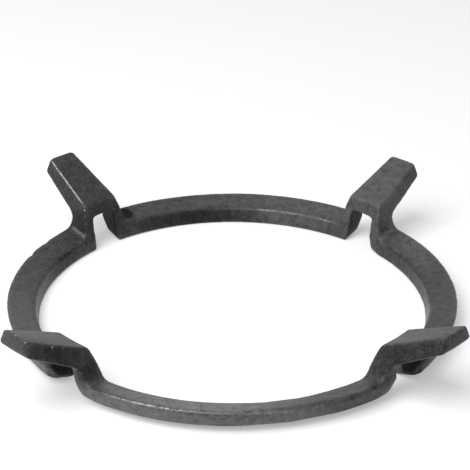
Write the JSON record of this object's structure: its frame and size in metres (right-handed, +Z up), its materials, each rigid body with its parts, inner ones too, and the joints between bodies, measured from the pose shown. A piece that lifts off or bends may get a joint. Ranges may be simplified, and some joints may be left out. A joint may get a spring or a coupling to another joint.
{
  "type": "wok ring",
  "caption": "Cast ring that straddles the arms of a hob's pan support and carries a round-bottomed wok on blades that rise outward.",
  "frame": {"origin": "on the ring's axis, at the height of the foot it rests on", "axes": "+Z up along the ring's axis; the saddles stand on the diagonals between the X and Y axes"},
  "size_m": [0.2004, 0.2004, 0.0382],
  "materials": {
    "cast_iron": "dark grey, matt, fine sand-cast grain"
  },
  "bodies": {
    "root": {"wok_ring": "cast_iron"}
  },
  "joints": []
}
